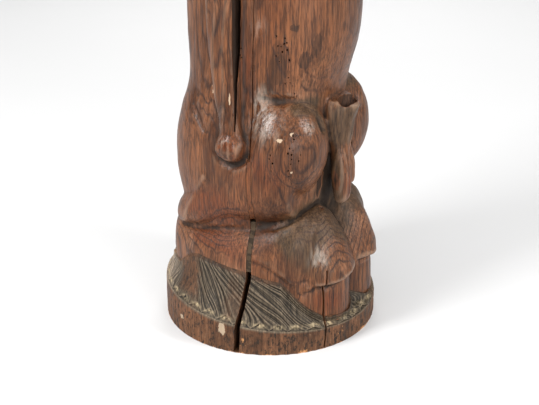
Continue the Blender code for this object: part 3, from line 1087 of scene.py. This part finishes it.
def filler_paste(name):
    """Grey-brown filler, crumbly and cracked."""
    nodes = Nodes(name)
    lumps = nodes.noise((260, 260, 160), detail=5, roughness=0.7)
    cracks = nodes.step(nodes.noise((90, 90, 240), detail=2), 0.47, 0.52)
    colour = nodes.mix(lumps, (0.034, 0.022, 0.013), (0.082, 0.053, 0.032))
    colour = nodes.over(colour, (0.018, 0.013, 0.009), cracks, 0.7)
    return finish_surface(nodes, colour, 0.85, 0.15, nodes.bump(lumps, 0.8, 0.0012))


def floor_paint():
    nodes = Nodes("floor_white")
    grain = nodes.noise((3, 3, 3))
    colour = nodes.mix(grain, (0.64, 0.64, 0.64), (0.66, 0.66, 0.66))
    nodes.feed(nodes.surface.inputs["Base Color"], colour)
    nodes.surface.inputs["Roughness"].default_value = 0.7
    nodes.surface.inputs["Specular IOR Level"].default_value = 0.2
    return nodes.material


# ---- Pieces ----

SHARP_ANGLE = 42.0  # degrees between two faces, above which their edge is sharp
SLIVER = 2e-6  # metres


def shade(thing):
    thing.data.shade_smooth()
    thing.data.set_sharp_from_angle(angle=math.radians(SHARP_ANGLE))


def mend(mesh):
    """Takes out doubled faces and slivers left by the cuts, and closes the pinholes they leave."""
    mesh.validate()
    work = bmesh.new()
    work.from_mesh(mesh)
    bmesh.ops.dissolve_degenerate(work, dist=SLIVER, edges=work.edges)
    rims = [edge for edge in work.edges if edge.is_boundary]
    filled = bmesh.ops.holes_fill(work, edges=rims, sides=8)
    bmesh.ops.triangulate(work, faces=filled["faces"])
    work.to_mesh(mesh)
    work.free()


def finish_piece(thing, material, node="carved_log"):
    """Gives the piece its material and its body, and hides the CAD node that it stands for."""
    mend(thing.data)
    thing.data.materials.clear()
    thing.data.materials.append(material)
    shade(thing)
    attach(thing, "root")
    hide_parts(node)


# Places where the finish has changed: (centre, radii, strength). A strength below 0 leaves it as it was.
BARE = [  # worn down to orange wood
    ((76, 34, 345), (16, 16, 42), 0.9),
    ((62, 68, 352), (20, 18, 34), 1.0),
    ((64, 60, 312), (14, 12, 18), 0.8),
    ((42, 86, 345), (14, 14, 40), 0.9),
    ((60, 66, 400), (40, 34, 40), 0.7),
    ((71, 50, 326), (7, 8, 22), -1.6),
    ((47, 82, 348), (9, 9, 18), -1.3),
    ((54, 76, 330), (7, 7, 12), -1.2),
    ((64, 68, 369), (13, 12, 5), -0.9),
    ((83, -22, 290), (3, 5, 14), 0.9),
    ((-70, -40, 390), (18, 26, 40), 0.7),
    ((-40, 80, 440), (30, 24, 34), 0.6),
]
DEEP_DIRT_AND_SHADE = [  # painted shade and old dirt: black deep in the tail gap, the crease behind the knee and the knot's mouth
    ((12, 80, 178), (17, 9, 42), 0.9),
    ((84, 38, 144), (8, 16, 5), 0.8),
    ((44, 88, 262), (5, 6, 12), 0.5),
]
STAIN_AND_SHADE = [  # dark with old finish and dirt, and painted shade in gaps and hollows: beside the arm gap, in the tail gap and the knot's mouth, and over the top of the buttock
    ((54, 72, 281), (26, 16, 9), 1.1),
    ((43, 88, 264), (9, 10, 16), 0.9),
    ((48, 84, 146), (42, 28, 24), 1.1),
    ((10, 96, 128), (22, 24, 26), 0.9),
    ((72, 74, 128), (24, 26, 28), 0.75),
    ((22, 96, 192), (9, 12, 36), 0.9),
    ((14, 80, 175), (18, 12, 36), 1.2),
    ((0, 92, 250), (34, 34, 26), 0.55),
    ((8, 102, 256), (26, 16, 26), 1.0),
    ((40, 88, 330), (22, 18, 46), 0.4),
    ((60, 98, 96), (26, 30, 20), 0.5),
    ((104, 4, 232), (12, 14, 9), 0.6),
    ((88, 12, 300), (5, 6, 60), 0.5),
    ((-50, 74, 284), (26, 16, 16), 0.8),
    ((-48, 84, 146), (42, 28, 24), 1.0),
    ((0, -70, 150), (60, 30, 26), 0.5),
]
PATCH = [  # old dark finish that has stayed on the worn back
    ((71, 50, 326), (7.5, 7.5, 20), 1.1),
    ((46, 82, 352), (7, 7, 15), 1.1),
    ((56, 74, 334), (6, 6, 10), 1.0),
    ((64, 68, 369), (13, 12, 4), 0.75),
    ((76, 40, 300), (4, 6, 12), 0.7),
    ((-60, 70, 400), (12, 12, 30), 1.0),
    ((30, 92, 420), (16, 10, 22), 0.9),
]
RED = [  # thin finish, where the red wood shows
    ((92, -20, 156), (20, 50, 30), 1.0),
    ((92, -30, 118), (18, 50, 9), 1.0),
    ((96, 46, 212), (24, 40, 34), 0.7),
    ((96, 20, 104), (16, 26, 14), 0.8),
    ((52, 106, 55), (28, 28, 18), 0.9),
    ((84, 20, 330), (10, 14, 80), 0.7),
    ((84, -10, 330), (16, 16, 80), 0.5),
    ((6, 104, 180), (16, 14, 24), 0.9),
    ((106, 4, 238), (12, 18, 16), 0.9),
    ((-92, -10, 160), (24, 56, 40), 0.8),
]
GLOSS = [  # polished by handling
    ((84, 42, 272), (20, 28, 24), 1.0),
    ((67, 84, 264), (9, 9, 11), 1.0),
    ((58, 97, 112), (15, 16, 18), 1.0),
    ((77, 30, 365), (14, 14, 16), 0.9),
    ((97, -4, 270), (10, 14, 26), 0.6),
    ((106, 4, 240), (8, 12, 12), 0.8),
    ((0, -90, 640), (50, 30, 60), 0.5),
    ((92, 26, 122), (20, 30, 16), -1.6),
    ((0, -4, 800), (70, 70, 8), -1.6),
]
PAINTED_HIGHLIGHTS = [  # painted highlights: where the wood would reflect the lights, painted pale into its colour
    ((86, 44, 264), (20, 24, 26), 0.75),
    ((80, 34, 292), (8, 10, 16), 0.8),
    ((64, 84, 262), (8, 7, 9), 0.9),
    ((59, 96, 110), (14, 14, 15), 1.0),
    ((77, 30, 368), (8, 12, 16), 0.5),
    ((98, -6, 262), (6, 6, 18), 0.7),
    ((104, 2, 244), (6, 7, 6), 0.8),
    ((66, 106, 48), (10, 14, 16), 0.5),
    ((86, -52, 84), (12, 12, 34), 0.6),
    ((-84, -40, 300), (10, 20, 40), 0.5),
]
CHIPS = [  # small pale bruises
    ((82.6, 73.8, 258.7), (4, 4, 3), 1.0),
    ((90.6, 63.9, 252.7), (4, 4, 2.6), 1.0),
    ((86, 75, 218), (2.4, 2.4, 4.5), 1.0),
    ((83, -24, 292), (3, 3, 9), 0.8),
    ((96, 5, 290), (2.4, 2.4, 14), 0.8),
    ((106, 41, 45), (2.5, 2.5, 3), 0.8),
]
KNOCKS = [  # knocked places on the side of the base
    ((124, 8, 27), (10, 5, 9), 1.0),
    ((112, -54, 20), (5, 5, 5), 0.8),
]
PAINTED_SPOTS = {
    "bare": BARE, "stain_and_shade": STAIN_AND_SHADE, "patch": PATCH, "red": RED, "gloss": GLOSS, "chip": CHIPS, "painted_highlight": PAINTED_HIGHLIGHTS,
}
# Beetle holes: (middle of the cluster, how far it spreads, how many)
WORMHOLES = [
    ((69, 57, 346), 9, 16), ((79, 10, 341), 5, 5), ((64, 61, 306), 8, 9), ((86, 76, 243), 7, 11),
    ((96, 55, 231), 6, 6), ((88, 75, 222), 5, 4), ((-70, 50, 380), 9, 10), ((60, -76, 420), 8, 7),
]
WORMHOLE_RADII = (0.6, 1.1)
WORMHOLE_DEPTH = 5.0
WORMHOLE_APART = 3.0


def wormholes():
    """Small prisms that point at the log's axis, one for each beetle hole."""
    draw = np.random.default_rng(11)
    shapes, centres = [], []
    for middle, spread, count in WORMHOLES:
        outward = np.array(middle) * (1, 1, 0)
        outward = outward / np.linalg.norm(outward)
        across = np.array([-outward[1], outward[0], 0])
        for _ in range(count):
            centre = middle + across * draw.normal(0, spread / 2) + (0, 0, draw.normal(0, spread))
            radius = draw.uniform(*WORMHOLE_RADII)
            if all(np.linalg.norm(centre - other) > WORMHOLE_APART for other in centres):
                centres.append(centre)
                angles = np.linspace(0, 2 * math.pi, 6, endpoint=False)[:, None]
                ring = radius * (np.cos(angles) * across + np.sin(angles) * np.array([0, 0, 1.3]))
                ends = [centre + ring + outward * reach for reach in (-WORMHOLE_DEPTH, 8)]
                shapes.append(skinned(ends))
    return shapes


def spots(points, places):
    return sum(strength * spot(points, centre, radii) for centre, radii, strength in places)


def make_blank():
    """The figure before its checks and hollows are cut."""
    mesh = figure_shape()
    carve(mesh, [knife_marks, hair_grooves, arm_ridges, knife_lines, fist_moat, knot_pleats])
    points = points_of(mesh)
    mirrored = np.column_stack([np.abs(points[:, 0]), points[:, 1:]])
    # The hollow value: hollows and the deep spots are painted dark, as dirt and painted shade
    paint(mesh, "hollow", hollow_depth(mesh, 10, 1.6) + spots(mirrored, DEEP_DIRT_AND_SHADE))
    for name, places in PAINTED_SPOTS.items():
        paint(mesh, name, spots(points, places))
    return placed("figure", mesh)


FIGURE_WOOD = (0.052, 0.017, 0.006), (0.124, 0.046, 0.018), (0.215, 0.098, 0.050), 0.34
SPLINE_WOOD = (0.07, 0.022, 0.006), (0.12, 0.040, 0.013), (0.18, 0.068, 0.028), 0.38


def make_figure(figure):
    """Cuts the blank into the finished figure, which replaces the log above the base."""
    for name, shape in checks():
        # The checks' faces are painted black, as painted shade and grime
        cut_away(figure, name, [shape], dirt_and_shade=1.0)
    for name, shape, dirt_and_shade in deep_cuts():
        cut_away(figure, name, [shape], dirt_and_shade=dirt_and_shade)
    cut_away(figure, "wormholes", wormholes(), dirt_and_shade=1.0)
    for side, word in zip(SIDES, ("left", "right")):
        cut_away(figure, "eye_" + word, [eye(side)], "UNION")
    cut_away(figure, "under_floor", [box(200, -60, FIGURE_BOTTOM)])
    thin_out(figure, FIGURE_TRIANGLES)
    finish_piece(figure, wood("red_hardwood", *FIGURE_WOOD))


def paint_base(mesh):
    """Says where the base is grass, where it has painted shade, dust and painted sheen or a painted
    highlight on a leaf point, and where it is bare or knocked.
    """
    points = points_of(mesh)
    angles = np.arctan2(points[:, 1], points[:, 0])
    reach = np.hypot(points[:, 0], points[:, 1])
    from_front = turned_from_front(angles)
    rim = rim_height(angles)
    over_rim = points[:, 2] - rim
    depth = np.clip(over_rim / (np.interp(from_front, *np.transpose(GRASS_LINE)) - rim), 0, 1)
    hollow = hollow_depth(mesh, 6, 0.7)
    # Painted shade: the grass is darkened near its top, where it meets the legs
    paint(mesh, "hollow", np.where(depth > 0.93, np.maximum(hollow, 0.1), hollow))
    on_grass = 1 - 0.9 * stem(from_front, depth) * smooth_step(depth, 0.1, 0.3)
    on_grass = on_grass * (1 - 0.6 * smooth_step(depth, 0.85, 1))
    paint(mesh, "grass", smooth_step(over_rim, -1.5, 0.5) * (reach < BASE_RADIUS - 0.5) * on_grass)
    # Painted highlights on the leaf points at the rim
    tip_highlight = smooth_step(over_rim, -1, 1) * (1 - smooth_step(over_rim, 5, 8)) * (1 - leaf_tips(angles))
    paint(mesh, "tip_highlight", tip_highlight * smooth_step(over_rim, 0, 6))
    paint(mesh, "bare", 0.55 * np.exp(-points[:, 2] / 4) + 0.3 * waves(points, 34, 9))
    # Dust and painted sheen: paler grass towards the figure's front
    paint(mesh, "dust_and_sheen", 0.8 * (1 - smooth_step(from_front, 30, 62)))
    paint(mesh, "pale", spots(points, KNOCKS))


def make_base(blank):
    """The base and its grass, which replace the foot of the log."""
    mesh = mesh_of("base_and_grass", [base_shape(blank)])
    paint_base(mesh)
    base = placed("base_and_grass", mesh)
    # The checks' faces are painted black, as painted shade and grime
    for name, shape in checks(BASE_WEB):
        cut_away(base, name, [shape], dirt_and_shade=1.0)
    finish_piece(base, grass_wood("grass_and_sawn_side"))


def make_inserts(blank):
    """The spline and the filler in the main check, flush with the figure's surface."""
    inserts = (
        ("check_spline", SPLINE_BOTTOM, CHECK_TOP - FIT_GAP, wood("spline_wood", *SPLINE_WOOD)),
        ("check_filler", FILLER_BOTTOM, FILLER_TOP, filler_paste("grey_filler")),
    )
    for node, low, high, material in inserts:
        plate = slab(MAIN_CHECK, low, high, INSERT_INNER_RADIUS, thinner=2 * FIT_GAP)
        piece = placed(node + "_fine", mesh_of(node, [plate]))
        join(piece, blank, "INTERSECT")
        finish_piece(piece, material, node)


# ---- Stage, lights and camera ----

FLOOR_REACH = 40.0  # metres


def make_floor():
    mesh = bpy.data.meshes.new("floor")
    corners = [(x * FLOOR_REACH, y * FLOOR_REACH, 0) for x, y in ((-1, -1), (1, -1), (1, 1), (-1, 1))]
    mesh.from_pydata(corners, [], [(0, 1, 2, 3)])
    mesh.materials.append(floor_paint())
    floor = placed("floor", mesh)


LIGHT_AIM = (0, 0, 0.22)
# (name, degrees round from +X, degrees up, metres away, aim, size in metres, watts)
SOFTBOXES = [
    ("left_softbox", -25, 33, 1.7, LIGHT_AIM, (0.6, 0.8), 34),
    ("right_softbox", 92, 25, 1.7, LIGHT_AIM, (0.4, 0.6), 18),
    ("back_softbox", 205, 35, 2.0, LIGHT_AIM, (1.0, 1.2), 16),
    ("low_softbox", 51, 4.5, 1.7, (0, 0, 0.13), (0.36, 0.45), 9),
]
SUN_STRENGTH = 0.9
SUN_SPREAD = 70.0  # degrees across
ROOM_BRIGHTNESS = 0.42


def from_centre(turn, rise, distance):
    """A place at this angle from +X, this angle above the floor and this far, in degrees and metres."""
    turn, rise = math.radians(turn), math.radians(rise)
    flat = distance * math.cos(rise)
    return (flat * math.cos(turn), flat * math.sin(turn), LIGHT_AIM[2] + distance * math.sin(rise))


def add_light(name, kind, look):
    """A light of this kind that looks in this direction."""
    light = bpy.data.lights.new(name, kind)
    thing = bpy.data.objects.new(name, light)
    bpy.context.scene.collection.objects.link(thing)
    thing.rotation_euler = look.to_track_quat("-Z", "Y").to_euler()
    return thing


def make_lights():
    """Softboxes round the figure, an even soft sun and a white room."""
    world = bpy.data.worlds.new("studio")
    bpy.context.scene.world = world
    world.use_nodes = True
    world.node_tree.nodes["Background"].inputs["Color"].default_value = (1, 1, 1, 1)
    world.node_tree.nodes["Background"].inputs["Strength"].default_value = ROOM_BRIGHTNESS
    for name, turn, rise, distance, aim, size, power in SOFTBOXES:
        place = Vector(from_centre(turn, rise, distance))
        softbox = add_light(name, "AREA", Vector(aim) - place)
        softbox.location = place
        softbox.data.shape = "RECTANGLE"
        softbox.data.size, softbox.data.size_y = size
        softbox.data.energy = power
    sun = add_light("soft_sun", "SUN", -Vector(from_centre(10, 60, 1)))
    sun.data.energy = SUN_STRENGTH
    sun.data.angle = math.radians(SUN_SPREAD)


CAMERA_AZIMUTH = 120.0
CAMERA_RISE = 28.4  # degrees above the floor, seen from the base's centre
CAMERA_DIP = 23.9  # degrees that it looks down
CAMERA_DISTANCE = 1.549  # metres from the base's centre
LENS = 85.0
SENSOR_WIDTH = 36.0
IMAGE_WIDTH = 539


def make_camera():
    camera = bpy.data.cameras.new("camera")
    camera.lens = LENS
    camera.sensor_width = SENSOR_WIDTH
    camera.shift_x = -1 / IMAGE_WIDTH
    thing = bpy.data.objects.new("camera", camera)
    bpy.context.scene.collection.objects.link(thing)
    turn, rise, dip = (math.radians(a) for a in (CAMERA_AZIMUTH, CAMERA_RISE, CAMERA_DIP))
    back = Vector((math.sin(turn), -math.cos(turn), 0))
    thing.location = CAMERA_DISTANCE * (back * math.cos(rise) + Vector((0, 0, math.sin(rise))))
    look = -back * math.cos(dip) - Vector((0, 0, math.sin(dip)))
    thing.rotation_euler = look.to_track_quat("-Z", "Y").to_euler()
    bpy.context.scene.camera = thing
    bpy.context.scene.view_settings.view_transform = "Standard"


make_camera()
blank = make_blank()
make_base(blank)
make_inserts(blank)
make_figure(blank)
make_floor()
make_lights()
